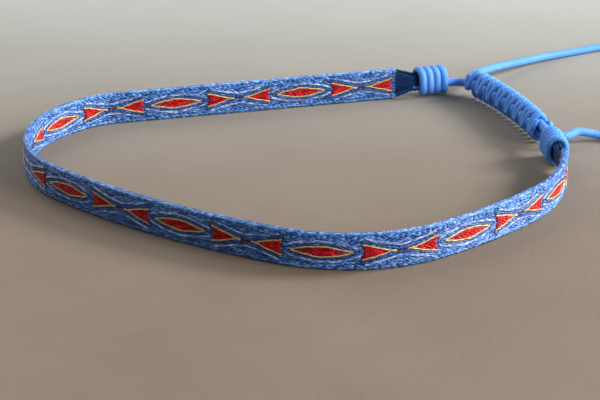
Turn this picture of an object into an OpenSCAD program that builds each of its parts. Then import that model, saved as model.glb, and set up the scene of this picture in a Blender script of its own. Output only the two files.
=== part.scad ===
// A narrow loom-woven bracelet that stands on its edge, closed by a sliding knot.
// The band is a warp-faced strip: an inner layer of weft picks, a warp face on each side,
// an edge cord along each edge, and pattern threads that float on both faces. Each end of
// the warp is gathered and whipped together with a round cord. Both cords pass side by side
// through a sliding knot, and their free ends are the two tails.

/* [Band] */
// Height of the band, which stands on its edge
band_w = 4; // [3.6:0.1:6]
// Thickness of the band over its pattern threads
band_t = 0.9; // [0.8:0.05:1.3]
// Thickness of the layer of weft picks
weft_t = 0.3; // [0.2:0.05:0.4]
// Height of the cord along each edge of the band
edge_h = 0.5; // [0.4:0.05:0.6]

/* [Loop] */
// Radius of the band's bend at the left
left_r = 16; // [14:0.5:20]
// Turn of that bend on the front side
left_front_turn = 28; // [20:1:34]
// Turn of that bend on the back side
left_back_turn = 65; // [50:1:75]
// Radius of the nearly straight stretch from the left bend to the front
shoulder_r = 86; // [70:1:110]
// Turn of that stretch
shoulder_turn = 20; // [14:1:24]
// Radius of the bend nearest the viewer
front_r = 16.5; // [13:0.5:22]
// Turn of that bend
front_turn = 61; // [50:1:68]
// Radius of the stretch from the front to the right
flank_r = 60; // [45:1:80]
// Turn of that stretch
flank_turn = 13; // [8:1:18]
// Radius of the last bend, at the right
right_r = 20; // [15:0.5:24]
// Radius of the bend from the left end into the back
corner_r = 10; // [8:0.5:13]

/* [Pattern] */
// Distance from one diamond's centre to the next
motif_pitch = 16; // [15.4:0.1:18]
// Distance from the flex line at the left to the front's first diamond
front_first = 10.4; // [9:0.1:12]
// Distance from the flex line at the left to the back's first diamond
back_first = 13.5; // [12:0.1:14.5]
// Length of a diamond with its gold outline
diamond_l = 6.2; // [5.4:0.1:6.6]
// Height of a diamond with its gold outline
diamond_h = 1.28; // [1:0.02:1.4]
// Length of an arrowhead with its gold outline
arrow_l = 3.4; // [3:0.1:3.6]
// Height of an arrowhead with its gold outline
arrow_h = 1.78; // [1.4:0.02:2]
// Width of a gold outline thread
gold_w = 0.16; // [0.1:0.01:0.2]
// Width of a silver outline thread
silver_w = 0.2; // [0.12:0.01:0.24]

/* [Closure] */
// Diameter of the round cord of the closure and its tails
cord_d = 1; // [0.8:0.05:1.2]
// Thickness of the cord that is wound round the two cords, pulled tight
wrap_t = 0.75; // [0.6:0.05:0.9]
// Number of square knots in the sliding knot, which has one node for each
knot_count = 7; // [7:1:7]
// Length of one square knot
knot_l = 2.6; // [2.2:0.1:3]
// Turns of whipping round each end of the warp
whip_turns = 5; // [3:1:6]
// Distance from one turn of whipping to the next
whip_pitch = 1; // [0.8:0.05:1.2]
// Gathered warp between the band's front end and its whipping
front_lead = 2.4; // [2:0.1:4]
// Gathered warp between the band's back end and its whipping
back_neck = 2.3; // [2:0.1:3.4]
// Bare cord between the front whipping and the sliding knot
tail_room = 3.8; // [3.8:0.1:5]
// Bare cord between the sliding knot and the bend into the back whipping
back_room = 1; // [0.9:0.05:1.6]
// Radius of the cord's bend into the back whipping
bend_r = 2.2; // [1.8:0.1:3]
// Width of the overhand knot that ends each tail
stopper_d = 2.4; // [2.2:0.1:3]

/* [Hidden] */
$fn = 48;
DEG = 180 / PI;

blue = "#2f66b0";
pale_blue = "#a9b3d6";
gold = "#c9a24a";
red = "#b01822";
cord_blue = "#3a7be0";

// Clearances
flex_gap = 0.5;      // between the two halves of the band at the flex line
wrap_clear = 0.08;   // between the cords and what is wound round them
cord_gap = 0.1;      // between the two cords, one above the other
knot_gap = 0.06;     // between neighbouring square knots
whip_gap = 0.3;      // from the back whipping to the cord's bend
float_gap = 0.04;    // between a pattern thread and the warp face under it
float_t = 0.07;      // thickness of a pattern thread
thread_gap = 0.04;   // between neighbouring pattern threads
tail_grip = 2;       // length of each tail inside the sliding knot
core_gap = 1;        // between a tail's inner end and the closing cord that faces it
sag = 0.015;         // by which a chord may lie inside its bend

function dir(a) = [cos(a), sin(a)];
function sum(v, n) = n == 0 ? 0 : v[n - 1] + sum(v, n - 1);

// The loop is drawn from the flex line, which is the origin here. The front is a chain of
// bends that turn left. Its last bend ends where it touches a circle about the flex line,
// and the closure lies along that circle, so it stays in line as the loop opens.
bends = [left_r, shoulder_r, front_r, flank_r, right_r];
turns = [left_front_turn, shoulder_turn, front_turn, flank_turn];
function bend_centre(i, a0) = i == 0 ? -bends[0] * dir(a0)
    : bend_centre(i - 1, a0) + (bends[i - 1] - bends[i]) * dir(a0 + sum(turns, i));
last_seen = bend_centre(4, 0);
start_a = -atan2(last_seen[1], last_seen[0]);
close_r = norm(last_seen) + right_r;
function bend_start(i) = start_a + sum(turns, i);
front_path = [for (i = [0:4])
    ["arc", bend_centre(i, start_a), bends[i], bend_start(i), i < 4 ? turns[i] : -bend_start(4)]];

// Places along the closing circle, as lengths from the band's front end
whip_l = whip_turns * whip_pitch;
whip_end = front_lead + whip_l;
knot_start = whip_end + tail_room;
knot_end = knot_start + knot_count * knot_l;
bend_a = (knot_end + back_room) / close_r * DEG;

// The back is the left bend, a corner and a straight that runs into the cord's bend
corner_a = start_a - left_back_turn;
corner_c = bend_centre(0, start_a) + (left_r - corner_r) * dir(corner_a);
cord_bend_c = (close_r - bend_r) * dir(bend_a);
to_bend = cord_bend_c - corner_c;
back_heading = atan2(to_bend[1], to_bend[0]) - asin((corner_r - bend_r) / norm(to_bend));
corner_turn = corner_a + 360 - (back_heading + 90);
straight_from = corner_c + corner_r * dir(back_heading + 90);
straight_to = cord_bend_c + bend_r * dir(back_heading + 90);
back_path = [
    ["arc", bend_centre(0, start_a), left_r, start_a, -left_back_turn],
    ["arc", corner_c, corner_r, corner_a, -corner_turn],
    ["line", straight_from, back_heading, norm(straight_to - straight_from)]
];

function seg_len(g) = g[0] == "arc" ? g[2] * abs(g[4]) / DEG : g[3];
function seg_at(g, d, off) = g[0] == "arc"
    ? g[1] + (g[2] + off) * dir(g[3] + sign(g[4]) * d / g[2] * DEG)
    : g[1] + d * dir(g[2]) + off * dir(g[2] + 90);
function path_at(p, d, off, i = 0) = i == len(p) - 1 || d <= seg_len(p[i])
    ? seg_at(p[i], d, off) : path_at(p, d - seg_len(p[i]), off, i + 1);
function path_len(p, n) = n == 0 ? 0 : seg_len(p[n - 1]) + path_len(p, n - 1);
front_len = path_len(front_path, 5);
back_len = path_len(back_path, 3);

// Where the weaving starts and ends on each half
front_neck = 1.2;
weave_start = flex_gap / 2;
front_weave_end = front_len - front_neck;
back_whip_end = back_len - whip_gap;
back_weave_end = back_whip_end - whip_l - back_neck;

// Heights
mid_z = band_w / 2;
cord_rise = (cord_d + cord_gap) / 2;
face_t = band_t / 2 - float_gap - float_t;
wrap_half_w = cord_d / 2 + wrap_clear + wrap_t;

// The origin is the middle of the loop's box, on the surface that the band stands on
box_lo = [bend_centre(0, start_a)[0] - left_r - band_t / 2,
          bend_centre(2, start_a)[1] - front_r - band_t / 2];
box_hi = [close_r + wrap_half_w,
          straight_to[1] - whip_gap * sin(back_heading) + wrap_half_w * cos(back_heading)];
mid_xy = (box_lo + box_hi) / 2;

// Draws from the flex line, in the object's own frame
module in_frame() translate([-mid_xy[0], -mid_xy[1], 0]) children();

// The distances at which a piece that follows a path from d0 to d1 has a corner
function chord(g) = g[0] == "arc" ? sqrt(8 * sag * g[2]) : g[3];
function stops(p, d0, d1) = concat([for (i = [0:len(p) - 1])
    let (a = max(d0, path_len(p, i)), b = min(d1, path_len(p, i + 1)),
         n = b > a ? ceil((b - a) / chord(p[i])) : 0)
    for (k = [0:1:n - 1]) a + (b - a) * k / n], [d1]);

// ---- The band ----

// A layer between two offsets from the band's middle
module layer(path, end, o0, o1) in_frame() {
    ds = stops(path, weave_start, end);
    translate([0, 0, edge_h]) linear_extrude(band_w - 2 * edge_h) polygon(concat(
        [for (d = ds) path_at(path, d, o1)],
        [for (i = [len(ds) - 1:-1:0]) path_at(path, ds[i], o0)]));
}
module weft(path, end) layer(path, end, -weft_t / 2, weft_t / 2);
module outer_warp(path, end) layer(path, end, weft_t / 2, face_t);
module inner_warp(path, end) layer(path, end, -face_t, -weft_t / 2);

// Joins rings of n points into a closed surface
function skin(rings, n) = concat(
    [[for (j = [0:n - 1]) j]],
    [for (i = [0:rings - 2]) for (j = [0:n - 1])
        let (a = i * n + j, b = i * n + (j + 1) % n) each [[a, a + n, b + n], [a, b + n, b]]],
    [[for (j = [n - 1:-1:0]) (rings - 1) * n + j]]);
function flipped(faces) = [for (f = faces) [for (i = [len(f) - 1:-1:0]) f[i]]];

// An edge cord is flat where it meets the weft, and where the band stands on it
module edge_cord(path, end, z) in_frame() {
    x = face_t;
    y = edge_h / 2;
    cut = 0.3 * edge_h;
    profile = [[-x, cut - y], [cut - x, -y], [x - cut, -y], [x, cut - y],
        [x, y - cut], [x - cut, y], [cut - x, y], [-x, y - cut]];
    ds = stops(path, weave_start, end);
    faces = skin(len(ds), len(profile));
    polyhedron([for (d = ds) for (q = profile) let (p = path_at(path, d, q[0])) [p[0], p[1], z + q[1]]],
        path == back_path ? faces : flipped(faces));
}

// ---- The pattern threads ----

// A thin solid on a face of the band. Each row holds its [distance, height] points, and the
// solid lies between the two offsets. The path is the front or the back.
module ribbon(path, rows, o0, o1) {
    k = len(rows[0]);
    n = 2 * k;
    ring = [for (row = rows) [for (j = [0:n - 1])
        let (q = j < k ? row[j] : row[n - 1 - j], p = path_at(path, q[0], j < k ? o1 : o0))
        [p[0], p[1], mid_z + q[1]]]];
    points = [for (r = ring) each r];
    last = len(rows) - 1;
    sides = [for (i = [0:last - 1]) for (j = [0:n - 1])
        let (a = i * n + j, b = i * n + (j + 1) % n, c = b + n, d = a + n)
        each [[a, b, c], [a, c, d]]];
    caps = [for (j = [0:k - 2]) for (e = [0, last])
        let (a = e * n + j, b = a + 1, c = e * n + n - 2 - j, d = c + 1)
        each (e == 0 ? [[a, c, b], [a, d, c]] : [[a, b, c], [a, c, d]])];
    faces = concat(sides, caps);
    polyhedron(points, path == back_path ? flipped(faces) : faces);
}

// Draws the same thread on both faces of the band
module both_faces(path, rows) {
    ribbon(path, rows, band_t / 2 - float_t, band_t / 2);
    ribbon(path, rows, -band_t / 2, -band_t / 2 + float_t);
}

tip_h = 0.02;
function lens(x, l, h) = max(tip_h, h / 2 * (1 - pow(2 * x / l, 2)));
function steps(a, b, n) = [for (i = [0:n]) a + (b - a) * i / n];

red_l = diamond_l - 8.5 * gold_w;
red_h = diamond_h - 2 * gold_w;
module red_diamond(path, c)
    both_faces(path, [for (x = steps(-red_l / 2, red_l / 2, 4))
        [[c + x, -lens(x, red_l, red_h)], [c + x, lens(x, red_l, red_h)]]]);
module gold_diamond(path, c)
    for (s = [-1, 1]) both_faces(path, [for (x = steps(-diamond_l / 2, diamond_l / 2, 4))
        let (lo = lens(x, red_l, red_h) + thread_gap, hi = max(lens(x, diamond_l, diamond_h), lo + tip_h))
        [[c + x, s > 0 ? lo : -hi], [c + x, s > 0 ? hi : -lo]]]);

// An arrowhead's base lies arrow_at from the diamond, and its tip points away from it
half_pitch = motif_pitch / 2;
arrow_tip_gap = 0.6;
arrow_at = half_pitch - arrow_tip_gap - arrow_l;
arrow_notch = 0.25;
red_arrow_l = arrow_l - 5 * gold_w;
red_arrow_h = arrow_h - 2.4 * gold_w;
module red_arrow(path, c, s)
    both_faces(path, order(s, [for (t = steps(0, 1, 2))
        let (edge = c + s * (arrow_at + t * red_arrow_l), h = max(tip_h, red_arrow_h / 2 * (1 - t)),
             mid = c + s * (arrow_at + arrow_notch + t * (red_arrow_l - arrow_notch)))
        [[edge, -h], [mid, 0], [edge, h]]]));
module gold_arrow(path, c, s)
    for (v = [-1, 1]) both_faces(path, order(s, [for (t = steps(0, 1, 3))
        let (d = c + s * (arrow_at + t * arrow_l), hi = arrow_h / 2 * (1 - t) + 2 * tip_h + thread_gap,
             lo = max(tip_h, red_arrow_h / 2 * (1 - t * arrow_l / red_arrow_l)) + thread_gap)
        [[d, v > 0 ? lo : -hi], [d, v > 0 ? hi : -lo]]]));
function order(s, rows) = s > 0 ? rows : [for (i = [len(rows) - 1:-1:0]) rows[i]];

// The silver threads bow round each diamond, and draw together where two arrowheads meet
bow_l = 2 * arrow_at - 0.6;
bow_end_h = 0.4;
bow_mid_h = diamond_h / 2 + 0.44;
neck_h = 0.6;
spread_h = band_w / 2 - edge_h - silver_w / 2 - 0.04;
spread_l = half_pitch - arrow_at - 0.4;
function spread(x) = neck_h + (spread_h - neck_h) * pow(min(1, abs(x) / spread_l), 1.3);
module silver_line(path, ds, heights)
    for (v = [-1, 1]) both_faces(path, [for (i = [0:len(ds) - 1])
        [[ds[i], v * heights[i] - silver_w / 2], [ds[i], v * heights[i] + silver_w / 2]]]);
module silver_bow(path, c) {
    ds = steps(-bow_l / 2, bow_l / 2, 4);
    silver_line(path, [for (x = ds) c + x],
        [for (x = ds) bow_end_h + (bow_mid_h - bow_end_h) * (1 - pow(2 * x / bow_l, 2))]);
}
module silver_arm(path, c, from, to) {
    ds = steps(from, to, 3);
    silver_line(path, ds, [for (d = ds) spread(d - c)]);
}

// The pattern's pieces that the woven stretch has room for
function centres(first, end) = [for (i = [0:floor((end - first + half_pitch) / motif_pitch)])
    first + i * motif_pitch];
function fits(a, b, end) = min(a, b) > weave_start && max(a, b) < end;

module red_threads(path, first, end) in_frame() for (c = centres(first, end)) {
    if (fits(c - red_l / 2, c + red_l / 2, end)) red_diamond(path, c);
    for (s = [-1, 1]) if (fits(c + s * arrow_at, c + s * (arrow_at + arrow_l), end)) red_arrow(path, c, s);
}
module gold_threads(path, first, end) in_frame() for (c = centres(first, end)) {
    if (fits(c - diamond_l / 2, c + diamond_l / 2, end)) gold_diamond(path, c);
    for (s = [-1, 1]) if (fits(c + s * arrow_at, c + s * (arrow_at + arrow_l), end)) gold_arrow(path, c, s);
}
module silver_threads(path, first, end) in_frame() {
    start = weave_start + thread_gap;
    plain = steps(start, first - half_pitch - thread_gap / 2, 3);
    silver_line(path, plain, [for (d = plain) neck_h]);
    for (c = centres(first, end)) {
        if (fits(c - bow_l / 2, c + bow_l / 2, end)) silver_bow(path, c);
        for (s = [-1, 1]) {
            near = c + s * (half_pitch - spread_l);
            far = min(c + s * (half_pitch - thread_gap / 2), end - thread_gap);
            if (fits(near, near, end)) silver_arm(path, c + s * half_pitch, min(near, far), max(near, far));
        }
    }
}

// ---- The ends of the warp ----

// Places its children at length s along the closing circle, with +X outward and +Y onward
module on_circle(s) rotate([0, 0, s / close_r * DEG]) translate([close_r, 0, mid_z]) children();
// Places them on the straight of the back, seen the same way, so +Y points back along it
module on_straight(d) {
    p = path_at(back_path, d, 0);
    translate([p[0], p[1], mid_z]) rotate([0, 0, back_heading + 90]) children();
}

// A thin slice of the gathered warp, drawn in the XZ plane
slice_t = 0.02;
module cord_pair_slice() for (z = [-1, 1]) translate([0, 0, z * cord_rise]) rotate([90, 0, 0])
    cylinder(d = cord_d, h = slice_t, center = true, $fn = 32);
module weave_slice() cube([2 * face_t, slice_t, band_w - edge_h], center = true);

// The gathered warp runs on under the whipping, beside the closing cord
module front_gathered_warp_shape() in_frame() {
    p = path_at(front_path, front_weave_end + slice_t, 0);
    hull() {
        translate([p[0], p[1], mid_z])
            rotate([0, 0, -front_neck / right_r * DEG]) weave_slice();
        on_circle(front_lead - slice_t) cord_pair_slice();
    }
    cord_along(front_cord_path, front_lead - 5 * slice_t, whip_end - whip_pitch, -cord_rise);
}
module back_gathered_warp_shape() in_frame() {
    hull() {
        on_straight(back_weave_end + slice_t) weave_slice();
        on_straight(back_whip_end - whip_l - slice_t) cord_pair_slice();
    }
    cord_along(back_path, back_whip_end - whip_l - 5 * slice_t, back_whip_end - whip_pitch, cord_rise);
}

// ---- The closure ----

// The front's cord follows the closing circle, and the back's bends off it to its whipping
front_cord_path = [["arc", [0, 0], close_r, 0, bend_a]];
back_cord_path = [
    ["arc", [0, 0], close_r, 0, bend_a],
    ["arc", cord_bend_c, bend_r, bend_a, back_heading + 90 - bend_a],
    ["line", straight_to, back_heading + 180, whip_l]
];
module cord_along(path, d0, d1, z) tube([for (d = stops(path, d0, d1))
    let (p = path_at(path, d, 0)) [p[0], p[1], mid_z + z]], cord_d, 16);

module front_closing_cord_shape() in_frame()
    cord_along(front_cord_path, front_lead + whip_gap, knot_end - tail_grip - core_gap, cord_rise);
module back_closing_cord_shape() in_frame()
    cord_along(back_cord_path, knot_start + tail_grip + core_gap, path_len(back_cord_path, 3), -cord_rise);

// A ring wound round the two cords, with rounded turns side by side along Y
module wound_ring(turns, pitch) {
    length = turns * pitch;
    inside = cord_d / 2 + wrap_clear;
    turn_r = pitch * 0.54;
    for (side = [0, 1]) rotate([0, side * 180, 0]) {
        translate([0, 0, cord_rise]) rotate([90, 0, 0]) rotate_extrude(angle = 180)
            translate([inside, 0]) ring_profile(turns, pitch, length, turn_r);
        translate([inside, 0, -cord_rise]) linear_extrude(2 * cord_rise)
            ring_profile(turns, pitch, length, turn_r);
    }
}
module ring_profile(turns, pitch, length, turn_r) intersection() {
    translate([0, -length / 2]) square([2 * wrap_t, length]);
    union() {
        translate([0, -length / 2 + pitch / 4]) square([wrap_t * 0.6, length - pitch / 2]);
        for (i = [0:turns - 1])
            translate([wrap_t - turn_r, (i - (turns - 1) / 2) * pitch]) circle(r = turn_r);
    }
}

// A square knot is two turns, and its working cord loops over itself at each side
module square_knot_shape(i) in_frame() on_circle(knot_start + (i - 0.5) * knot_l) {
    body_l = knot_l - knot_gap;
    loop_x = wrap_half_w - wrap_t / 4;
    wound_ring(2, body_l / 2);
    for (x = [-1, 1]) translate([x * loop_x, 0, 0]) {
        rotate([90, 0, 0]) cylinder(d = wrap_t, h = body_l / 2, center = true);
        for (e = [-1, 1]) translate([0, e * body_l / 4, 0]) sphere(d = wrap_t);
    }
}

// ---- The tails ----

// Each tail starts inside the sliding knot, on the closing circle, and bends outward.
// Its other points were placed by hand, on the surface that the bracelet stands on.
tail_bend_r = 2;
lie_z = cord_d / 2;
function circle_at(s, z) = let (p = close_r * dir(s / close_r * DEG) - mid_xy) [p[0], p[1], mid_z + z];
function turned_out(s, z, heading, side, turn, n) = [for (i = [1:n])
    let (a = heading + side * turn * i / n, p = circle_at(s, z),
         c = [p[0], p[1]] + tail_bend_r * dir(heading + side * 90),
         q = c + tail_bend_r * dir(a - side * 90))
    [q[0], q[1], p[2]]];

// A tube swept through points
function unit(v) = v / norm(v);
function slope_at(p, i) = unit(p[min(i + 1, len(p) - 1)] - p[max(i - 1, 0)]);
module tube(p, d, sides = 8) polyhedron(
    [for (i = [0:len(p) - 1]) let (t = slope_at(p, i), side = unit(cross(t, [0, 0, 1])),
        up = cross(side, t)) for (j = [0:sides - 1])
        p[i] + d / 2 * (cos(j * 360 / sides) * side + sin(j * 360 / sides) * up)],
    flipped(skin(len(p), sides)));

// An overhand knot drawn tight, with the cord standing out of it at both ends
module stopper_knot(at, heading) translate(at) rotate([0, 0, heading]) rotate([0, 90, 0]) {
    rotate_extrude() translate([(stopper_d - cord_d) / 2, 0]) circle(d = cord_d);
    translate([0, 0, -stub_l]) cylinder(d = cord_d, h = 2.5 * stub_l);
}
stub_l = 0.8;
// A tail rises into its stopper knot, so its slanted end stops short of the knot's stub
end_gap = 0.1;
function stub_end(at, heading) = at - (stub_l + end_gap) * [dir(heading)[0], dir(heading)[1], 0];

// The short side's tail ends in one flat turn, and its stopper knot lies inside the turn
coil_at = [45, 13.2];
coil_r = 5.2;
coil_lane = 1.1;
coil_edge = 0.05;
short_knot_at = [47.2, 13.8, stopper_d / 2];
short_knot_heading = 120;
short_points = concat(
    [circle_at(knot_start + tail_grip, -cord_rise), circle_at(knot_start, -cord_rise)],
    turned_out(knot_start, -cord_rise, knot_start / close_r * DEG - 90, 1, 128, 5),
    [[33.7, 9, 1.3], [36.4, 9.6, 0.6], [39, 8.6, 0.5], [41.5, 8, 0.5]]);

far_knot_at = [55.2, 51.8, stopper_d / 2];
far_knot_heading = 12;
far_points = concat(
    [circle_at(knot_end - tail_grip, cord_rise), circle_at(knot_end, cord_rise)],
    turned_out(knot_end, cord_rise, knot_end / close_r * DEG + 90, -1, 66, 4),
    [[25.2, 31.4, 2], [27.2, 34.6, 1.4], [30.8, 38.2, 1], [34.6, 41.4, 0.7], [38.4, 44, 0.5],
     [42.4, 46.2, 0.5], [46.8, 48.6, 0.5], [50.6, 50.6, 0.6],
     stub_end(far_knot_at, far_knot_heading)]);

module short_side_coil_shape() translate([coil_at[0], coil_at[1], 0]) rotate_extrude()
    translate([coil_r - coil_lane - cord_d / 2 - coil_edge, 0])
        square([coil_lane + cord_d + 2 * coil_edge, cord_d]);

// ---- The nodes ----

module front_weft() color(blue) weft(front_path, front_weave_end);
module front_outer_warp() color(blue) outer_warp(front_path, front_weave_end);
module front_inner_warp() color(blue) inner_warp(front_path, front_weave_end);
module front_upper_edge_cord() color(blue) edge_cord(front_path, front_weave_end, band_w - edge_h / 2);
module front_lower_edge_cord() color(blue) edge_cord(front_path, front_weave_end, edge_h / 2);
module front_red_threads() color(red) red_threads(front_path, front_first, front_weave_end);
module front_gold_threads() color(gold) gold_threads(front_path, front_first, front_weave_end);
module front_silver_threads() color(pale_blue)
    silver_threads(front_path, front_first, front_weave_end);
module front_gathered_warp() color(blue) front_gathered_warp_shape();
module front_whipping() color(cord_blue)
    in_frame() on_circle(front_lead + whip_l / 2) wound_ring(whip_turns, whip_pitch);
module front_closing_cord() color(cord_blue) front_closing_cord_shape();

module back_weft() color(blue) weft(back_path, back_weave_end);
module back_outer_warp() color(blue) outer_warp(back_path, back_weave_end);
module back_inner_warp() color(blue) inner_warp(back_path, back_weave_end);
module back_upper_edge_cord() color(blue) edge_cord(back_path, back_weave_end, band_w - edge_h / 2);
module back_lower_edge_cord() color(blue) edge_cord(back_path, back_weave_end, edge_h / 2);
module back_red_threads() color(red) red_threads(back_path, back_first, back_weave_end);
module back_gold_threads() color(gold) gold_threads(back_path, back_first, back_weave_end);
module back_silver_threads() color(pale_blue)
    silver_threads(back_path, back_first, back_weave_end);
module back_gathered_warp() color(blue) back_gathered_warp_shape();
module back_whipping() color(cord_blue)
    in_frame() on_straight(back_whip_end - whip_l / 2) wound_ring(whip_turns, whip_pitch);
module back_closing_cord() color(cord_blue) back_closing_cord_shape();

module square_knot(i) color(cord_blue) square_knot_shape(i);
module short_side_tail() color(cord_blue) tube(short_points, cord_d);
module short_side_tail_coil() color(cord_blue) short_side_coil_shape();
module short_side_stopper_knot() color(cord_blue) stopper_knot(short_knot_at, short_knot_heading);
module far_side_tail() color(cord_blue) tube(far_points, cord_d);
module far_side_stopper_knot() color(cord_blue) stopper_knot(far_knot_at, far_knot_heading);

front_weft();
front_outer_warp();
front_inner_warp();
front_upper_edge_cord();
front_lower_edge_cord();
front_red_threads();
front_gold_threads();
front_silver_threads();
front_gathered_warp();
front_whipping();
front_closing_cord();
back_weft();
back_outer_warp();
back_inner_warp();
back_upper_edge_cord();
back_lower_edge_cord();
back_red_threads();
back_gold_threads();
back_silver_threads();
back_gathered_warp();
back_whipping();
back_closing_cord();
square_knot(1);  // square_knot_1
square_knot(2);  // square_knot_2
square_knot(3);  // square_knot_3
square_knot(4);  // square_knot_4
square_knot(5);  // square_knot_5
square_knot(6);  // square_knot_6
square_knot(7);  // square_knot_7
short_side_tail();
short_side_tail_coil();
short_side_stopper_knot();
far_side_tail();
far_side_stopper_knot();
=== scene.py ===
import math
from itertools import product
import bpy
import numpy as np
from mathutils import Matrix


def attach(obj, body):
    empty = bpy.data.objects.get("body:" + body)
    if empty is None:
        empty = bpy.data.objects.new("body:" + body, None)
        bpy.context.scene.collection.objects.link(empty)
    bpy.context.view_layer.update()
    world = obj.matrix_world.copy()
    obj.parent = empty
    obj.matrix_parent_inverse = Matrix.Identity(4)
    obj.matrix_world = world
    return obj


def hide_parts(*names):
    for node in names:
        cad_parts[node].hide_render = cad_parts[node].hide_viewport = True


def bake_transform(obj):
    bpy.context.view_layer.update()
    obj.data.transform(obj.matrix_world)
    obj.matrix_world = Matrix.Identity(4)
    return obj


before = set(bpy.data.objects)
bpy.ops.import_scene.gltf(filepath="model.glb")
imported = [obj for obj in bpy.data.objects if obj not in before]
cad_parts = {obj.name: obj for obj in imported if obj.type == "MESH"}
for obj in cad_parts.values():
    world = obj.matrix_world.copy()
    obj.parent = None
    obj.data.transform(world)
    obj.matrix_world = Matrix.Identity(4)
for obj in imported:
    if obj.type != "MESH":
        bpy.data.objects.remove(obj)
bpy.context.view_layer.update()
bpy.ops.object.select_all(action="DESELECT")
print("frame loaded:", len(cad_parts), "nodes")

mm = 0.001
# A fixed seed, so every run lays the threads alike
chance = np.random.default_rng(11)

# Camera first, at the height and tilt of someone looking across a table top
view = {"place": (0.45, -187.2, 71.4), "tilt": 68.1, "lens": 105, "sensor": 36, "near": 0.005}
bpy.ops.object.camera_add(location=[v * mm for v in view["place"]],
                          rotation=(math.radians(view["tilt"]), 0, 0))
camera = bpy.context.object
camera.name = "tableCamera"
camera.data.lens = view["lens"]
camera.data.sensor_width = view["sensor"]
camera.data.clip_start = view["near"]
bpy.context.scene.camera = camera

# The loop's layout in millimetres and degrees, with the sizes of the part. A neck is the gap between the
# weaving and its whipping.
loop = {"left": 16, "shoulder": 86, "front": 16.5, "flank": 60, "right": 20, "corner": 10,
        "turns": [28, 20, 61, 13], "backTurn": 65, "frontNeck": 1.2, "backNeck": 2.3}
band = {"width": 4.0, "thickness": 0.9, "edge": 0.5}
closure = {"cord": 1.0, "wrap": 0.75, "clear": 0.08, "rise": 0.55, "lead": 2.4, "whip": 5.0, "turns": 5,
           "room": 3.8, "knots": 7, "knotLength": 2.6, "backRoom": 1.0, "bend": 2.2, "whipGap": 0.3,
           "grip": 2.0, "coreGap": 1.0}
midHeight = band["width"] / 2
cordRadius = closure["cord"] / 2


def heading(degrees):
    return np.array([math.cos(math.radians(degrees)), math.sin(math.radians(degrees))])


def arc(centre, radius, start, sweep):
    return {"centre": centre, "radius": radius, "start": start, "sweep": sweep,
            "length": radius * math.radians(abs(sweep))}


# The front's five arcs, each tangent to the one before, from the left bend to the closure
def layOut(start):
    radii = [loop[k] for k in ("left", "shoulder", "front", "flank", "right")]
    centre, angle, path = -radii[0] * heading(start), start, []
    for i, turn in enumerate(loop["turns"] + [0]):
        path.append(arc(centre, radii[i], angle, turn))
        angle += turn
        if i < 4:
            centre = centre + (radii[i] - radii[i + 1]) * heading(angle)
    return path, centre, angle


# The first layout only finds how to turn the loop, so that the last arc's centre lies on the x axis
lastCentre = layOut(0)[1]
startAngle = -math.degrees(math.atan2(lastCentre[1], lastCentre[0]))
frontPath, lastCentre, endAngle = layOut(startAngle)
frontPath[4] = arc(lastCentre, loop["right"], endAngle, -endAngle)
closeRadius = float(np.linalg.norm(lastCentre)) + loop["right"]
knotStart = closure["lead"] + closure["whip"] + closure["room"]
knotEnd = knotStart + closure["knots"] * closure["knotLength"]
bendAngle = math.degrees((knotEnd + closure["backRoom"]) / closeRadius)

# The back: the left bend, a corner and a straight run, up to the bend of its own closing cord
cornerAngle = startAngle - loop["backTurn"]
cornerCentre = frontPath[0]["centre"] + (loop["left"] - loop["corner"]) * heading(cornerAngle)
cordCentre = (closeRadius - closure["bend"]) * heading(bendAngle)
toBend = cordCentre - cornerCentre
backHeading = math.degrees(math.atan2(toBend[1], toBend[0])
                           - math.asin((loop["corner"] - closure["bend"]) / np.linalg.norm(toBend)))
straightFrom = cornerCentre + loop["corner"] * heading(backHeading + 90)
straightTo = cordCentre + closure["bend"] * heading(backHeading + 90)
backPath = [arc(frontPath[0]["centre"], loop["left"], startAngle, -loop["backTurn"]),
            arc(cornerCentre, loop["corner"], cornerAngle, backHeading + 90 - cornerAngle - 360),
            {"from": straightFrom, "heading": backHeading,
             "length": float(np.linalg.norm(straightTo - straightFrom))}]
frontLength = sum(s["length"] for s in frontPath)
backLength = sum(s["length"] for s in backPath)
frontEnd = frontLength - loop["frontNeck"]
backWhipEnd = backLength - closure["whipGap"]
backEnd = backWhipEnd - closure["whip"] - loop["backNeck"]

# The frame's origin is the middle of the loop's box in plan
halfWrap = cordRadius + closure["clear"] + closure["wrap"]
boxLow = np.array([frontPath[0]["centre"][0] - loop["left"], frontPath[2]["centre"][1] - loop["front"]])
backTop = straightTo[1] - closure["whipGap"] * math.sin(math.radians(backHeading))
boxHigh = np.array([closeRadius + halfWrap, backTop + halfWrap * math.cos(math.radians(backHeading))])
middle = (boxLow - band["thickness"] / 2 + boxHigh) / 2
print("loop laid out: front %.1f mm, back %.1f mm" % (frontLength, backLength))

# Past its end each path runs on along the circle that the closure slides on
frontPath.append(arc(np.zeros(2), closeRadius, 0, 90))
backPath.append(arc(cordCentre, closure["bend"], backHeading + 90, bendAngle - backHeading - 90))
backPath.append(arc(np.zeros(2), closeRadius, bendAngle, -90))


def alongPath(path, distance, out):
    place, done = np.zeros(distance.shape + (2,)), 0.0
    for i, part in enumerate(path):
        here = distance >= done if i else np.full(distance.shape, True)
        run = distance - done
        if "centre" in part:
            angle = math.radians(part["start"]) + np.sign(part["sweep"]) * run / part["radius"]
            spoke = np.stack([np.cos(angle), np.sin(angle)], -1)
            spot = part["centre"] + (part["radius"] + out)[..., None] * spoke
        else:
            spot = part["from"] + run[..., None] * heading(part["heading"])
            spot = spot + out[..., None] * heading(part["heading"] + 90)
        place[here] = spot[here]
        done += part["length"]
    return place


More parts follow.
